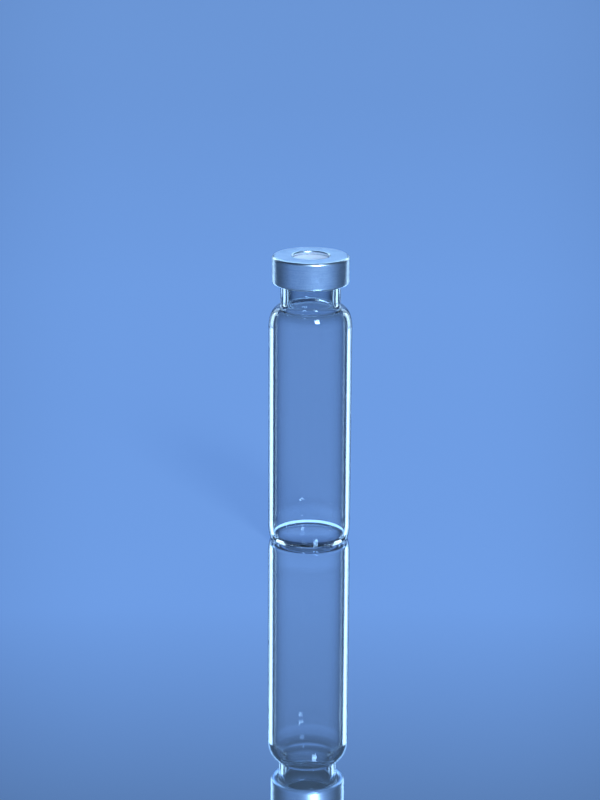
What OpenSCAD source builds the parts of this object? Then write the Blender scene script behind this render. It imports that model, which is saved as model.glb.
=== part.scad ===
// Glass sample vial, sealed with a soft septum under a crimped aluminium cap.
// Every piece is turned about the Z axis, and the vial stands on the XY plane.
// All sizes are in millimetres.

/* [Glass body] */
// Outer diameter of the tube
body_d = 22.5; // [20.6:0.1:30]
// Thickness of the tube wall
wall_t = 1.2; // [0.8:0.05:1.8]
// Height of the glass, from the ring it stands on to the sealing face
glass_h = 75.9; // [40:0.1:120]

/* [Glass base] */
// Radius of the heel, where the wall turns under the base
heel_r = 1.2; // [0.8:0.1:1.8]
// Radius of the gentle curve that draws the wall in above the heel
base_draw_r = 13.3; // [8:0.1:20]
// Angle that the gentle curve turns through
base_draw_a = 15.4; // [9:0.2:20]
// Width of the flat ring that the vial stands on
stand_w = 1.2; // [0.5:0.1:2]
// Rise of the hollow under the base, at its middle
punt_h = 0.3; // [0.1:0.05:0.8]
// Thickness of the glass floor
floor_t = 1.3; // [0.9:0.05:2]
// Radius of the corner inside, between the floor and the wall
floor_corner_r = 1; // [0.5:0.1:1.3]

/* [Glass shoulder] */
// Radius of the gentle curve where the tube starts to close in
shoulder_draw_r = 9.4; // [7:0.1:14]
// Angle that the gentle curve turns through
shoulder_draw_a = 19.2; // [10:0.2:28]
// Radius of the round crown of the shoulder
shoulder_r = 4.9; // [4:0.1:6]
// Radius of the crown inside, smaller because the wall thickens towards the neck
inner_shoulder_r = 2.9; // [2.2:0.1:3.6]
// Radius of the fillet between the shoulder and the neck
shoulder_fillet_r = 0.9; // [0.4:0.1:1.3]

/* [Glass neck and flange] */
// Outer diameter of the neck
neck_d = 16.2; // [14.6:0.1:16.8]
// Length of straight neck, between its two fillets' outer ends
neck_h = 5.6; // [4:0.1:12]
// Bore at the narrowest place, where the neck was pinched in
throat_d = 12.7; // [10:0.1:12.9]
// Radius that the throat is rounded to as it opens into the shoulder
throat_r = 2.6; // [1.4:0.1:3.4]
// Bore at the mouth
mouth_d = 13.3; // [13:0.1:14]
// Radius of the mouth's inner edge
mouth_edge_r = 0.6; // [0.3:0.1:1]
// Outer diameter of the flange that the cap grips
flange_d = 20; // [19:0.1:22]
// Height of the flange
flange_h = 3.9; // [3:0.1:6]
// Radius of the flange's outer edges
flange_edge_r = 0.45; // [0.2:0.05:0.7]
// Radius of the fillet under the flange
flange_fillet_r = 0.5; // [0.2:0.1:0.6]

/* [Septum] */
// Thickness of the septum where the cap clamps it
septum_t = 3.2; // [2:0.1:4]
// Gap between the septum's edge and the skirt of the cap
septum_gap = 0.2; // [0.1:0.05:0.5]
// Gap round the bend of the cap's hole, where it presses into the septum
dimple_gap = 0.1; // [0.05:0.05:0.3]

/* [Crimp cap] */
// Thickness of the aluminium sheet
sheet_t = 0.25; // [0.15:0.01:0.3]
// Gap between the flange and the skirt of the cap
skirt_gap = 0.1; // [0.05:0.05:0.3]
// Outer radius of the edge between the top and the skirt
cap_edge_r = 0.85; // [0.4:0.05:1]
// Gap between the crimped lip and the fillet under the flange
lip_gap = 0.15; // [0.05:0.05:0.3]
// Clear diameter of the hole over the septum
hole_d = 10; // [5:0.1:12]
// Outer radius of the bend round the hole
hole_bend_r = 0.45; // [0.35:0.05:0.6]
// Depth of the turned-down rim of the hole, below the top face
rim_depth = 1; // [0.8:0.05:1.4]

/* [Hidden] */
$fn = 240;

glass_color = [0.75, 0.86, 0.95, 0.45];
septum_color = [0.90, 0.88, 0.93];
aluminium_color = [0.74, 0.77, 0.81];

body_r = body_d / 2;
bore_r = body_r - wall_t;
neck_r = neck_d / 2;
throat_bore_r = throat_d / 2;
mouth_r = mouth_d / 2;
flange_r = flange_d / 2;

// Outside of the base: the heel's arc runs into the drawn-in arc without a corner.
base_draw_x = body_r - base_draw_r;
base_top_z = heel_r + (base_draw_r - heel_r) * sin(base_draw_a);
stand_r = base_draw_x + (base_draw_r - heel_r) * cos(base_draw_a);
punt_r = stand_r - stand_w;
punt_ball_r = (punt_r * punt_r + punt_h * punt_h) / (2 * punt_h);
punt_ball_a = asin(punt_r / punt_ball_r);

// Inside of the base: the wall keeps its thickness down to the floor's corner.
inner_draw_r = base_draw_r - wall_t;
inner_draw_a = asin((base_top_z - floor_t - floor_corner_r) / (inner_draw_r - floor_corner_r));
floor_r = base_draw_x + (inner_draw_r - floor_corner_r) * cos(inner_draw_a);
floor_ball_r = (floor_r * floor_r + punt_h * punt_h) / (2 * punt_h);
floor_ball_a = asin(floor_r / floor_ball_r);

// Outside of the shoulder, worked down from the sealing face and the neck.
flange_z = glass_h - flange_h;
neck_foot_z = flange_z - neck_h;
shoulder_draw_x = body_r - shoulder_draw_r;
crown_x = shoulder_draw_x + (shoulder_draw_r - shoulder_r) * cos(shoulder_draw_a);
fillet_x = neck_r + shoulder_fillet_r;
fillet_lean = max(fillet_x - crown_x, 0);
fillet_a = acos(fillet_lean / (shoulder_r + shoulder_fillet_r));
crown_z = neck_foot_z - (shoulder_r + shoulder_fillet_r) * sin(fillet_a);
shoulder_z = crown_z - (shoulder_draw_r - shoulder_r) * sin(shoulder_draw_a);

// Inside of the shoulder, up to the rounded throat that it runs into.
inner_crown_step = shoulder_draw_r - wall_t - inner_shoulder_r;
inner_crown_x = shoulder_draw_x + inner_crown_step * cos(shoulder_draw_a);
inner_crown_z = shoulder_z + inner_crown_step * sin(shoulder_draw_a);
throat_x = throat_bore_r + throat_r;
throat_lean = max(throat_x - inner_crown_x, 0);
throat_a = acos(throat_lean / (inner_shoulder_r + throat_r));
throat_z = inner_crown_z + (inner_shoulder_r + throat_r) * sin(throat_a);

// Above the throat the bore opens towards the mouth on one long arc.
mouth_flare = mouth_r - throat_bore_r;
mouth_rise = glass_h - mouth_edge_r - throat_z;
mouth_arc_r = (mouth_rise * mouth_rise + mouth_flare * mouth_flare) / (2 * mouth_flare);
mouth_arc_a = asin(mouth_rise / mouth_arc_r);

// The cap is closed round the flange, and clamps the septum on the sealing face.
skirt_r = flange_r + skirt_gap;
cap_r = skirt_r + sheet_t;
crimp_r = flange_edge_r + sheet_t;
septum_top_z = glass_h + septum_t;
cap_top_z = septum_top_z + sheet_t;
cap_foot_z = flange_z - sheet_t;
lip_r = neck_r + flange_fillet_r + lip_gap;
hole_r = hole_d / 2;
hole_flat_r = hole_r + hole_bend_r;
rim_foot_z = cap_top_z - rim_depth;
cap_inner_edge_r = cap_edge_r - sheet_t;
septum_r = skirt_r - septum_gap;
dimple_r = hole_flat_r + dimple_gap;

// Points along an arc about [x, z], from one angle to another, in steps of at most arc_step.
arc_step = 9;
least_steps = 4;
function arc(x, z, r, from, to) =
    let (steps = max(least_steps, ceil(abs(to - from) / arc_step)))
    [for (i = [0:steps]) let (a = from + (to - from) * i / steps) [x + r * cos(a), z + r * sin(a)]];

// Outline without the points that repeat the one before them, where two arcs meet.
same_point = 0.0001;
function tidy(outline) =
    [for (i = [0:len(outline) - 1]) if (i == 0 || norm(outline[i] - outline[i - 1]) > same_point) outline[i]];

// Half section of the glass, from the middle of the underside round to the middle of the floor.
glass_base = concat(
    arc(0, punt_h - punt_ball_r, punt_ball_r, 90, 90 - punt_ball_a),
    arc(stand_r, heel_r, heel_r, -90, -base_draw_a),
    arc(base_draw_x, base_top_z, base_draw_r, -base_draw_a, 0));
glass_shoulder = concat(
    arc(shoulder_draw_x, shoulder_z, shoulder_draw_r, 0, shoulder_draw_a),
    arc(crown_x, crown_z, shoulder_r, shoulder_draw_a, fillet_a),
    arc(fillet_x, neck_foot_z, shoulder_fillet_r, 180 + fillet_a, 180));
glass_flange = concat(
    arc(neck_r + flange_fillet_r, flange_z - flange_fillet_r, flange_fillet_r, 180, 90),
    arc(flange_r - flange_edge_r, flange_z + flange_edge_r, flange_edge_r, -90, 0),
    arc(flange_r - flange_edge_r, glass_h - flange_edge_r, flange_edge_r, 0, 90));
glass_bore = concat(
    arc(mouth_r + mouth_edge_r, glass_h - mouth_edge_r, mouth_edge_r, 90, 180),
    arc(throat_bore_r + mouth_arc_r, throat_z, mouth_arc_r, 180 - mouth_arc_a, 180),
    arc(throat_x, throat_z, throat_r, 180, 180 + throat_a));
glass_hollow = concat(
    arc(inner_crown_x, inner_crown_z, inner_shoulder_r, throat_a, shoulder_draw_a),
    arc(shoulder_draw_x, shoulder_z, shoulder_draw_r - wall_t, shoulder_draw_a, 0),
    arc(base_draw_x, base_top_z, inner_draw_r, 0, -inner_draw_a),
    arc(floor_r, floor_t + floor_corner_r, floor_corner_r, -inner_draw_a, -90),
    arc(0, floor_t + punt_h - floor_ball_r, floor_ball_r, 90 - floor_ball_a, 90));

// Half section of the septum, with the dimple that the rim of the cap's hole presses into it.
septum_outline = concat(
    [[0, glass_h]],
    arc(septum_r - cap_inner_edge_r, glass_h + cap_inner_edge_r, cap_inner_edge_r, -90, 0),
    arc(septum_r - cap_inner_edge_r, septum_top_z - cap_inner_edge_r, cap_inner_edge_r, 0, 90),
    [[dimple_r, septum_top_z], [dimple_r, rim_foot_z], [0, rim_foot_z]]);

// Half section of the cap: up its inside, round the crimped lip, and up its outside.
cap_inside = concat(
    [[hole_r, rim_foot_z], [hole_r + sheet_t, rim_foot_z]],
    arc(hole_flat_r, cap_top_z - hole_bend_r, hole_bend_r - sheet_t, 180, 90),
    arc(skirt_r - cap_inner_edge_r, septum_top_z - cap_inner_edge_r, cap_inner_edge_r, 90, 0),
    arc(skirt_r - flange_edge_r, flange_z + flange_edge_r, flange_edge_r, 0, -90));
cap_outside = concat(
    [[lip_r, flange_z], [lip_r, cap_foot_z]],
    arc(cap_r - crimp_r, cap_foot_z + crimp_r, crimp_r, -90, 0),
    arc(cap_r - cap_edge_r, cap_top_z - cap_edge_r, cap_edge_r, 0, 90),
    arc(hole_flat_r, cap_top_z - hole_bend_r, hole_bend_r, 90, 180));

// Tube glass in one piece: a domed base, a round shoulder, a pinched neck and a thick flange.
module glass_vial() {
    color(glass_color) rotate_extrude()
        polygon(tidy(concat(glass_base, glass_shoulder, glass_flange, glass_bore, glass_hollow)));
}

// Soft disc that lies on the sealing face.
module septum() {
    color(septum_color) rotate_extrude() polygon(tidy(septum_outline));
}

// Drawn aluminium cap: a plate with a hole, a skirt, and a lip crimped in under the flange.
module crimp_cap() {
    color(aluminium_color) rotate_extrude() polygon(tidy(concat(cap_inside, cap_outside)));
}

glass_vial();
septum();
crimp_cap();
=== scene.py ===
import math

import bmesh
import bpy
from mathutils import Matrix, Vector


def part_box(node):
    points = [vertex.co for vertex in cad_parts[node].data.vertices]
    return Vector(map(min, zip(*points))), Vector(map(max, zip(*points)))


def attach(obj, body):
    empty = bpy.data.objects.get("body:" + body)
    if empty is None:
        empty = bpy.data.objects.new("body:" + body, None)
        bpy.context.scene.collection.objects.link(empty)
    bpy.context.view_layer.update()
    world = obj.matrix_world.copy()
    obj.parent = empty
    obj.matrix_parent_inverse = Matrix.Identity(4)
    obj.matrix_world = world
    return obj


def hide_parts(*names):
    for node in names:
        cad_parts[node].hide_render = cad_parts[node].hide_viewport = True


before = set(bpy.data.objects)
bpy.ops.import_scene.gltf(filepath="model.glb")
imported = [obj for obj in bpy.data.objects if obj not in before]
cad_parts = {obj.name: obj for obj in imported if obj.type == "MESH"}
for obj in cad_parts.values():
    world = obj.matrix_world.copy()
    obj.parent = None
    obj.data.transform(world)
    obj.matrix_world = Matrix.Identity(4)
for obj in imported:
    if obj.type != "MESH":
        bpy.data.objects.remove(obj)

scene = bpy.context.scene
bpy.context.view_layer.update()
mm = 0.001

# ---- Camera ---------------------------------------------------------------------------------
# A long lens at arm's length, a little above the vial and looking down at it, so that the top
# of the cap shows as a slim oval.
camera_distance = 669.8 * mm
camera_height = 237.3 * mm
camera_shift_left = 2.67 * mm
camera_pitch = 16.48
camera_roll = 0.33
lens_length = 116.3

camera_data = bpy.data.cameras.new("camera")
camera_data.lens = lens_length
camera_data.clip_start = 0.01
camera_data.clip_end = 50
camera = bpy.data.objects.new("camera", camera_data)
scene.collection.objects.link(camera)
tilt = Matrix.Rotation(math.radians(90 - camera_pitch), 4, "X")
roll = Matrix.Rotation(math.radians(camera_roll), 4, "Z")
place = Matrix.Translation((-camera_shift_left, -camera_distance, camera_height))
camera.matrix_world = place @ tilt @ roll
scene.camera = camera

# ---- Glass vial -----------------------------------------------------------------------------
# One piece of clear borosilicate tube, worked in a flame: the base is closed and pushed up a
# little, the shoulder is rolled in, and the neck is pinched and upset into a thick flange.
# Its outline is drawn as a wire of arcs and straight lines, and then spun about the axis.
glass_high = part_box("glass_vial")[1]
body_r = glass_high.x
glass_h = glass_high.z
wall_t = 1.2 * mm
heel_r = 1.2 * mm
base_draw_r = 13.3 * mm
base_draw_a = 15.4
stand_w = 1.2 * mm
punt_h = 0.3 * mm
floor_t = 1.3 * mm
floor_corner_r = 1.0 * mm
shoulder_draw_r = 9.4 * mm
shoulder_draw_a = 19.2
shoulder_r = 4.9 * mm
shoulder_fillet_r = 0.9 * mm
neck_r = 8.1 * mm
neck_h = 5.6 * mm
inner_shoulder_r = 2.9 * mm
throat_bore_r = 6.35 * mm
throat_r = 2.6 * mm
mouth_r = 6.65 * mm
mouth_edge_r = 0.6 * mm
flange_r = 10.0 * mm
flange_h = 3.9 * mm
flange_edge_r = 0.45 * mm
flange_fillet_r = 0.5 * mm
turn_steps = 256
arc_step = 4
shortest_line = 0.001 * mm
merge_gap = 0.0005 * mm


def sin(degrees):
    return math.sin(math.radians(degrees))


def cos(degrees):
    return math.cos(math.radians(degrees))


def arc_sin(share):
    return math.degrees(math.asin(share))


def arc_cos(share):
    return math.degrees(math.acos(share))


def start_outline(x, z):
    """A new mesh with one point, where an outline in the XZ plane starts."""
    outline = bmesh.new()
    return outline, outline.verts.new((x, 0, z))


def line_to(outline, tip, x, z):
    """Draws a straight line from the outline's tip to [x, z], and returns the new tip."""
    drawn = bmesh.ops.extrude_vert_indiv(outline, verts=[tip])
    new_tip = drawn["verts"][0]
    new_tip.co = (x, 0, z)
    return new_tip


def arc_round(outline, tip, x, z, r, start, end):
    """Draws an arc about [x, z] from one angle to another, after a line to where it starts."""
    first = Vector((x + r * cos(start), 0, z + r * sin(start)))
    if (tip.co - first).length > shortest_line:
        tip = line_to(outline, tip, first.x, first.z)
    steps = max(6, math.ceil(abs(end - start) / arc_step))
    drawn = bmesh.ops.spin(
        outline, geom=[tip], cent=(x, 0, z), axis=(0, 1, 0),
        angle=math.radians(start - end), steps=steps)
    return [part for part in drawn["geom_last"] if isinstance(part, bmesh.types.BMVert)][0]


def turned_piece(name, outline):
    """Spins an outline about the Z axis into a closed, smooth mesh with its faces outwards."""
    bmesh.ops.spin(
        outline, geom=outline.verts[:] + outline.edges[:], cent=(0, 0, 0), axis=(0, 0, 1),
        angle=math.tau, steps=turn_steps, use_merge=True)
    bmesh.ops.remove_doubles(outline, verts=outline.verts, dist=merge_gap)
    bmesh.ops.recalc_face_normals(outline, faces=outline.faces)
    mesh = bpy.data.meshes.new(name)
    outline.to_mesh(mesh)
    outline.free()
    mesh.polygons.foreach_set("use_smooth", [True] * len(mesh.polygons))
    piece = bpy.data.objects.new(name, mesh)
    scene.collection.objects.link(piece)
    return piece


def new_material(name):
    """A material with its node tree's nodes, links and main shader."""
    material = bpy.data.materials.new(name)
    material.use_nodes = True
    tree = material.node_tree
    return material, tree.nodes, tree.links, tree.nodes["Principled BSDF"]


def add_noise(nodes, links, place, scale, detail):
    """Adds a cloudy pattern at a place, and returns its height."""
    noise = nodes.new("ShaderNodeTexNoise")
    noise.inputs["Scale"].default_value = scale
    noise.inputs["Detail"].default_value = detail
    links.new(place, noise.inputs["Vector"])
    return noise.outputs["Fac"]


def add_bump(nodes, links, shader, height, depth, strength):
    """Raises and dents a material's surface by a height, which stands for a depth in metres."""
    bump = nodes.new("ShaderNodeBump")
    bump.inputs["Distance"].default_value = depth
    bump.inputs["Strength"].default_value = strength
    links.new(height, bump.inputs["Height"])
    links.new(bump.outputs["Normal"], shader.inputs["Normal"])


def set_stops(ramp, stops):
    """Gives a colour ramp its stops, from low to high: a share of the way, and a colour."""
    elements = ramp.color_ramp.elements
    elements.remove(elements[1])
    elements[0].position = stops[0][0]
    elements[0].color = stops[0][1]
    for share, colour in stops[1:]:
        elements.new(share).color = colour


# Outside of the base
base_draw_x = body_r - base_draw_r
base_top_z = heel_r + (base_draw_r - heel_r) * sin(base_draw_a)
stand_r = base_draw_x + (base_draw_r - heel_r) * cos(base_draw_a)
punt_r = stand_r - stand_w
punt_ball_r = (punt_r ** 2 + punt_h ** 2) / (2 * punt_h)
punt_ball_a = arc_sin(punt_r / punt_ball_r)
outline, tip = start_outline(0, punt_h)
tip = arc_round(outline, tip, 0, punt_h - punt_ball_r, punt_ball_r, 90, 90 - punt_ball_a)
tip = arc_round(outline, tip, stand_r, heel_r, heel_r, -90, -base_draw_a)
tip = arc_round(outline, tip, base_draw_x, base_top_z, base_draw_r, -base_draw_a, 0)

# Outside of the shoulder and the neck
flange_z = glass_h - flange_h
neck_foot_z = flange_z - neck_h
shoulder_draw_x = body_r - shoulder_draw_r
crown_x = shoulder_draw_x + (shoulder_draw_r - shoulder_r) * cos(shoulder_draw_a)
fillet_x = neck_r + shoulder_fillet_r
fillet_a = arc_cos((fillet_x - crown_x) / (shoulder_r + shoulder_fillet_r))
crown_z = neck_foot_z - (shoulder_r + shoulder_fillet_r) * sin(fillet_a)
shoulder_z = crown_z - (shoulder_draw_r - shoulder_r) * sin(shoulder_draw_a)
tip = arc_round(outline, tip, shoulder_draw_x, shoulder_z, shoulder_draw_r, 0, shoulder_draw_a)
tip = arc_round(outline, tip, crown_x, crown_z, shoulder_r, shoulder_draw_a, fillet_a)
tip = arc_round(outline, tip, fillet_x, neck_foot_z, shoulder_fillet_r, 180 + fillet_a, 180)

# The flange, up to the sealing face
flange_fillet_x = neck_r + flange_fillet_r
flange_edge_x = flange_r - flange_edge_r
tip = arc_round(outline, tip, flange_fillet_x, flange_z - flange_fillet_r, flange_fillet_r, 180, 90)
tip = arc_round(outline, tip, flange_edge_x, flange_z + flange_edge_r, flange_edge_r, -90, 0)
tip = arc_round(outline, tip, flange_edge_x, glass_h - flange_edge_r, flange_edge_r, 0, 90)

# Down the bore to the throat
inner_crown_step = shoulder_draw_r - wall_t - inner_shoulder_r
inner_crown_x = shoulder_draw_x + inner_crown_step * cos(shoulder_draw_a)
inner_crown_z = shoulder_z + inner_crown_step * sin(shoulder_draw_a)
throat_x = throat_bore_r + throat_r
throat_a = arc_cos((throat_x - inner_crown_x) / (inner_shoulder_r + throat_r))
throat_z = inner_crown_z + (inner_shoulder_r + throat_r) * sin(throat_a)
mouth_flare = mouth_r - throat_bore_r
mouth_rise = glass_h - mouth_edge_r - throat_z
mouth_arc_r = (mouth_rise ** 2 + mouth_flare ** 2) / (2 * mouth_flare)
mouth_arc_a = arc_sin(mouth_rise / mouth_arc_r)
tip = arc_round(outline, tip, mouth_r + mouth_edge_r, glass_h - mouth_edge_r, mouth_edge_r, 90, 180)
mouth_arc_x = throat_bore_r + mouth_arc_r
tip = arc_round(outline, tip, mouth_arc_x, throat_z, mouth_arc_r, 180 - mouth_arc_a, 180)
tip = arc_round(outline, tip, throat_x, throat_z, throat_r, 180, 180 + throat_a)

# Inside of the shoulder, the wall and the floor
inner_draw_r = base_draw_r - wall_t
inner_draw_a = arc_sin((base_top_z - floor_t - floor_corner_r) / (inner_draw_r - floor_corner_r))
floor_r = base_draw_x + (inner_draw_r - floor_corner_r) * cos(inner_draw_a)
floor_ball_r = (floor_r ** 2 + punt_h ** 2) / (2 * punt_h)
floor_ball_a = arc_sin(floor_r / floor_ball_r)
floor_ball_z = floor_t + punt_h - floor_ball_r
tip = arc_round(
    outline, tip, inner_crown_x, inner_crown_z, inner_shoulder_r, throat_a, shoulder_draw_a)
tip = arc_round(
    outline, tip, shoulder_draw_x, shoulder_z, shoulder_draw_r - wall_t, shoulder_draw_a, 0)
tip = arc_round(outline, tip, base_draw_x, base_top_z, inner_draw_r, 0, -inner_draw_a)
tip = arc_round(outline, tip, floor_r, floor_t + floor_corner_r, floor_corner_r, -inner_draw_a, -90)
tip = arc_round(outline, tip, 0, floor_ball_z, floor_ball_r, 90 - floor_ball_a, 90)
glass = turned_piece("vial_glass", outline)

glass_ior = 1.473
draw_line_stretch = (600, 600, 60)
draw_line_scale = 0.35
draw_line_detail = 2
draw_line_depth = 0.012 * mm
draw_line_strength = 0.5
# The glass's base colour goes by height. The faint grey of the wall is the glass's own tint. The
# clear white at the base is painted light that makes the base look brighter, and the darker grey at
# the neck is painted shade that darkens the neck.
base_painted_light = (1.0, 1.0, 1.0, 1)
wall_tint = (0.87, 0.87, 0.88, 1)
neck_painted_shade = (0.70, 0.725, 0.75, 1)
tint_stops_and_painted_light = [(0.06, base_painted_light), (0.09, wall_tint), (0.81, wall_tint), (0.84, neck_painted_shade)]

clear_glass, nodes, links, shader = new_material("clear_glass")
shader.inputs["Transmission Weight"].default_value = 1.0
shader.inputs["IOR"].default_value = glass_ior
shader.inputs["Roughness"].default_value = 0.0
place_on = nodes.new("ShaderNodeTexCoord")
level = nodes.new("ShaderNodeSeparateXYZ")
links.new(place_on.outputs["Object"], level.inputs["Vector"])
share_up = nodes.new("ShaderNodeMath")
share_up.operation = "DIVIDE"
share_up.inputs[1].default_value = glass_h
links.new(level.outputs["Z"], share_up.inputs[0])
# This ramp paints light onto the base and shade onto the neck, by height.
tint_and_painted_light = nodes.new("ShaderNodeValToRGB")
set_stops(tint_and_painted_light, tint_stops_and_painted_light)
links.new(share_up.outputs["Value"], tint_and_painted_light.inputs["Fac"])
links.new(tint_and_painted_light.outputs["Color"], shader.inputs["Base Color"])
stretch = nodes.new("ShaderNodeMapping")
stretch.inputs["Scale"].default_value = draw_line_stretch
links.new(place_on.outputs["Object"], stretch.inputs["Vector"])
draw_lines = add_noise(nodes, links, stretch.outputs["Vector"], draw_line_scale, draw_line_detail)
add_bump(nodes, links, shader, draw_lines, draw_line_depth, draw_line_strength)
glass.data.materials.append(clear_glass)

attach(glass, "root")
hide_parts("glass_vial")

# ---- Septum ---------------------------------------------------------------------------------
# A soft disc of silicone rubber with a thin pale film on its face, laid on the flange and
# squeezed flat by the cap. The rim of the cap's hole presses its middle down a little.
septum_low, septum_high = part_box("septum")
cap_low, cap_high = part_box("crimp_cap")
sheet_t = 0.25 * mm
hole_r = 5.0 * mm
hole_bend_r = 0.45 * mm
rim_depth = 1.0 * mm
cap_edge_r = 0.85 * mm
dimple_gap = 0.1 * mm
septum_r = septum_high.x
septum_edge_r = cap_edge_r - sheet_t
cap_top_z = cap_high.z
rim_foot_z = cap_top_z - rim_depth
dimple_r = hole_r + hole_bend_r + dimple_gap

septum_edge_x = septum_r - septum_edge_r
lower_edge_z = septum_low.z + septum_edge_r
upper_edge_z = septum_high.z - septum_edge_r
outline, tip = start_outline(0, septum_low.z)
tip = arc_round(outline, tip, septum_edge_x, lower_edge_z, septum_edge_r, -90, 0)
tip = arc_round(outline, tip, septum_edge_x, upper_edge_z, septum_edge_r, 0, 90)
tip = line_to(outline, tip, dimple_r, septum_high.z)
tip = line_to(outline, tip, dimple_r, rim_foot_z)
tip = line_to(outline, tip, 0, rim_foot_z)
septum = turned_piece("septum_disc", outline)

rubber_stops = [(0.3, (0.90, 0.82, 0.83, 1)), (0.7, (0.96, 0.88, 0.89, 1))]
rubber_roughness = 0.42
mottle_scale = 900
mottle_detail = 4
mottle_depth = 0.02 * mm
mottle_strength = 0.4

septum_rubber, nodes, links, shader = new_material("septum_rubber")
shader.inputs["Roughness"].default_value = rubber_roughness
shader.inputs["Subsurface Weight"].default_value = 0.1
shader.inputs["Subsurface Scale"].default_value = 1.0 * mm
place_on = nodes.new("ShaderNodeTexCoord")
mottle = add_noise(nodes, links, place_on.outputs["Object"], mottle_scale, mottle_detail)
tone = nodes.new("ShaderNodeValToRGB")
set_stops(tone, rubber_stops)
links.new(mottle, tone.inputs["Fac"])
links.new(tone.outputs["Color"], shader.inputs["Base Color"])
add_bump(nodes, links, shader, mottle, mottle_depth, mottle_strength)
septum.data.materials.append(septum_rubber)

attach(septum, "root")
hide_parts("septum")

# ---- Crimp cap ------------------------------------------------------------------------------
# A cup drawn from thin aluminium sheet, with a hole punched through its top and turned down.
# Crimping jaws have folded its skirt in under the flange, which clamps the septum.
cap_r = cap_high.x
cap_foot_z = cap_low.z
skirt_r = cap_r - sheet_t
crimp_r = flange_edge_r + sheet_t
lip_gap = 0.15 * mm
lip_r = neck_r + flange_fillet_r + lip_gap
hole_flat_r = hole_r + hole_bend_r
plate_z = cap_top_z - sheet_t

outline, first = start_outline(hole_r, rim_foot_z)
tip = line_to(outline, first, hole_r + sheet_t, rim_foot_z)
tip = arc_round(outline, tip, hole_flat_r, cap_top_z - hole_bend_r, hole_bend_r - sheet_t, 180, 90)
inner_edge_x = skirt_r - septum_edge_r
inner_lip_x = skirt_r - flange_edge_r
tip = arc_round(outline, tip, inner_edge_x, plate_z - septum_edge_r, septum_edge_r, 90, 0)
tip = arc_round(outline, tip, inner_lip_x, flange_z + flange_edge_r, flange_edge_r, 0, -90)
tip = line_to(outline, tip, lip_r, flange_z)
tip = line_to(outline, tip, lip_r, cap_foot_z)
tip = arc_round(outline, tip, cap_r - crimp_r, cap_foot_z + crimp_r, crimp_r, -90, 0)
tip = arc_round(outline, tip, cap_r - cap_edge_r, cap_top_z - cap_edge_r, cap_edge_r, 0, 90)
tip = arc_round(outline, tip, hole_flat_r, cap_top_z - hole_bend_r, hole_bend_r, 90, 180)
outline.edges.new((tip, first))
cap = turned_piece("cap_shell", outline)

metal_stops = [(0.38, (0.74, 0.79, 0.86, 1)), (0.62, (0.90, 0.93, 0.97, 1))]
smoothest = 0.24
roughest = 0.38
grain_scale = 3200
grain_detail = 3
brushing_stretch = (260, 260, 2600)
brushing_scale = 1.0
brushing_detail = 2
brushing_share = 0.5
finish_depth = 0.03 * mm
finish_strength = 0.5

cap_aluminium, nodes, links, shader = new_material("cap_aluminium")
shader.inputs["Metallic"].default_value = 1.0
place_on = nodes.new("ShaderNodeTexCoord")
grain = add_noise(nodes, links, place_on.outputs["Object"], grain_scale, grain_detail)
flatten = nodes.new("ShaderNodeMapping")
flatten.inputs["Scale"].default_value = brushing_stretch
links.new(place_on.outputs["Object"], flatten.inputs["Vector"])
brushing = add_noise(nodes, links, flatten.outputs["Vector"], brushing_scale, brushing_detail)
finish = nodes.new("ShaderNodeMix")
finish.inputs["Factor"].default_value = brushing_share
links.new(grain, finish.inputs["A"])
links.new(brushing, finish.inputs["B"])
tone = nodes.new("ShaderNodeValToRGB")
set_stops(tone, metal_stops)
links.new(finish.outputs["Result"], tone.inputs["Fac"])
links.new(tone.outputs["Color"], shader.inputs["Base Color"])
gloss = nodes.new("ShaderNodeMapRange")
gloss.inputs["To Min"].default_value = smoothest
gloss.inputs["To Max"].default_value = roughest
links.new(finish.outputs["Result"], gloss.inputs["Value"])
links.new(gloss.outputs["Result"], shader.inputs["Roughness"])
add_bump(nodes, links, shader, finish.outputs["Result"], finish_depth, finish_strength)
cap.data.materials.append(cap_aluminium)

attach(cap, "root")
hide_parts("crimp_cap")

# ---- Floor ----------------------------------------------------------------------------------
# A wide sheet of pale, glossy board that the vial stands on.
floor_reach = 6.0
floor_gap = 0.02 * mm
board_stops = [(0, (0.68, 0.78, 0.93, 1)), (1, (0.71, 0.81, 0.96, 1))]
board_roughness = 0.015
cloud_scale = 3
cloud_detail = 2

ground = bmesh.new()
bmesh.ops.create_circle(ground, cap_ends=True, segments=96, radius=floor_reach)
bmesh.ops.translate(ground, vec=(0, 0, -floor_gap), verts=ground.verts)
floor_mesh = bpy.data.meshes.new("floor")
ground.to_mesh(floor_mesh)
ground.free()
floor = bpy.data.objects.new("floor", floor_mesh)
scene.collection.objects.link(floor)

pale_board, nodes, links, shader = new_material("pale_board")
shader.inputs["Metallic"].default_value = 0.9
shader.inputs["Roughness"].default_value = board_roughness
place_on = nodes.new("ShaderNodeTexCoord")
cloud = add_noise(nodes, links, place_on.outputs["Object"], cloud_scale, cloud_detail)
tone = nodes.new("ShaderNodeValToRGB")
set_stops(tone, board_stops)
links.new(cloud, tone.inputs["Fac"])
links.new(tone.outputs["Color"], shader.inputs["Base Color"])
floor.data.materials.append(pale_board)

# ---- Lights ---------------------------------------------------------------------------------
# Two soft panels behind the vial, each with a dimmer one below it, give the glass its bright
# edges. A small strong one in front and to the right lights the cap and the septum. A wide one
# hangs far behind and high up for the top of the cap, and is not seen through the glass.
panel_aim = Vector((0, 0, 40 * mm))
edge_light = (0.55, 0.80, 1.0)
key_light = (0.48, 0.76, 1.08)
back_light = (0.38, 0.66, 1.0)
side_a = 36
key_a = 157.5


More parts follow.
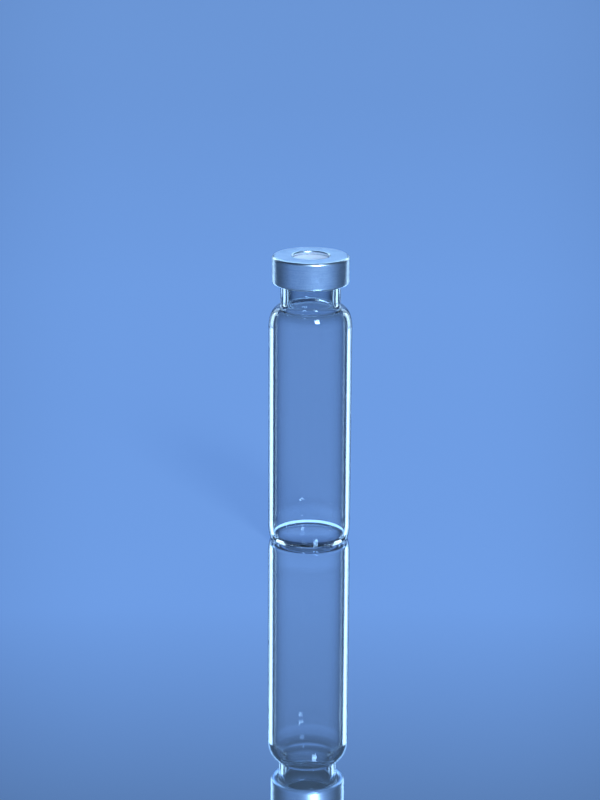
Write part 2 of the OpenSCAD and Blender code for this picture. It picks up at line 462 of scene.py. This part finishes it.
def soft_panel(name, azimuth, distance, centre_z, width, height, glow, colour):
    """A rectangular light that faces the vial. Azimuth 0 is behind it, and 90 to its right."""
    data = bpy.data.lights.new(name, "AREA")
    data.shape = "RECTANGLE"
    data.size = width
    data.size_y = height
    data.energy = glow * math.pi * width * height
    data.color = colour
    panel = bpy.data.objects.new(name, data)
    spot = Vector((distance * sin(azimuth), distance * cos(azimuth), centre_z))
    turn = (panel_aim - spot).to_track_quat("-Z", "Y").to_matrix().to_4x4()
    panel.matrix_world = Matrix.Translation(spot) @ turn
    panel.visible_camera = False
    scene.collection.objects.link(panel)
    return panel


for side, mark in ((-1, "left"), (1, "right")):
    soft_panel(mark + "_panel", side_a * side, 1.2, 0.425, 0.40, 0.37, 3.0, edge_light)
    soft_panel(mark + "_low_panel", side_a * side, 1.3, 0.08, 0.43, 0.32, 1.8, edge_light)
soft_panel("key_panel", key_a, 0.78, 0.70, 0.19, 0.38, 50, key_light)
back_panel = soft_panel("back_panel", 0, 6.0, 4.60, 9.0, 2.8, 2.4, back_light)
back_panel.visible_transmission = False

# The room is a soft glow that is brightest straight behind the vial and dim beside that, and
# its two sides are alike. Its levels go by degrees from straight behind, and by degrees up.
room_blue = (0.195, 0.385, 0.80, 1)
dim_blue = (0.04, 0.08, 0.12, 1)
front_levels = [(62, 0.1), (80, 0.12), (90, 0.3), (105, 0.45), (120, 0.8), (180, 0.8)]
height_levels = [
    (0, 0.8), (10, 0.9), (14, 1.0), (21, 1.0), (25.5, 0.5), (32, 0.3), (58, 0.2), (75, 0.3)]


def grey(level):
    return (level, level, level, 1)


world = bpy.data.worlds.new("studio")
world.use_nodes = True
scene.world = world
nodes = world.node_tree.nodes
links = world.node_tree.links
sky = nodes["Background"]
way = nodes.new("ShaderNodeTexCoord")
split = nodes.new("ShaderNodeSeparateXYZ")
links.new(way.outputs["Generated"], split.inputs["Vector"])
heading = nodes.new("ShaderNodeMath")
heading.operation = "ARCTAN2"
links.new(split.outputs["X"], heading.inputs[0])
links.new(split.outputs["Y"], heading.inputs[1])
aside = nodes.new("ShaderNodeMath")
aside.operation = "ABSOLUTE"
links.new(heading.outputs["Value"], aside.inputs[0])
share = nodes.new("ShaderNodeMath")
share.operation = "DIVIDE"
share.inputs[1].default_value = math.pi
links.new(aside.outputs["Value"], share.inputs[0])
glow = nodes.new("ShaderNodeValToRGB")
glow.color_ramp.interpolation = "EASE"
around = [(4 / 180, grey(1)), (20 / 180, dim_blue), (50 / 180, dim_blue)]
around += [(degrees / 180, grey(level)) for degrees, level in front_levels]
set_stops(glow, around)
links.new(share.outputs["Value"], glow.inputs["Fac"])
height = nodes.new("ShaderNodeValToRGB")
set_stops(height, [(sin(degrees), grey(level)) for degrees, level in height_levels])
links.new(split.outputs["Z"], height.inputs["Fac"])
room = nodes.new("ShaderNodeMix")
room.data_type = "RGBA"
room.blend_type = "MULTIPLY"
room.inputs["Factor"].default_value = 1.0
links.new(glow.outputs["Color"], room.inputs["A"])
links.new(height.outputs["Color"], room.inputs["B"])
blue = nodes.new("ShaderNodeMix")
blue.data_type = "RGBA"
blue.blend_type = "MULTIPLY"
blue.inputs["Factor"].default_value = 1.0
blue.inputs["B"].default_value = room_blue
links.new(room.outputs["Result"], blue.inputs["A"])
links.new(blue.outputs["Result"], sky.inputs["Color"])
sky.inputs["Strength"].default_value = 1.0

scene.view_settings.view_transform = "Standard"
scene.cycles.max_bounces = 64
scene.cycles.transmission_bounces = 64
scene.cycles.glossy_bounces = 64
scene.cycles.caustics_reflective = False
scene.cycles.caustics_refractive = False
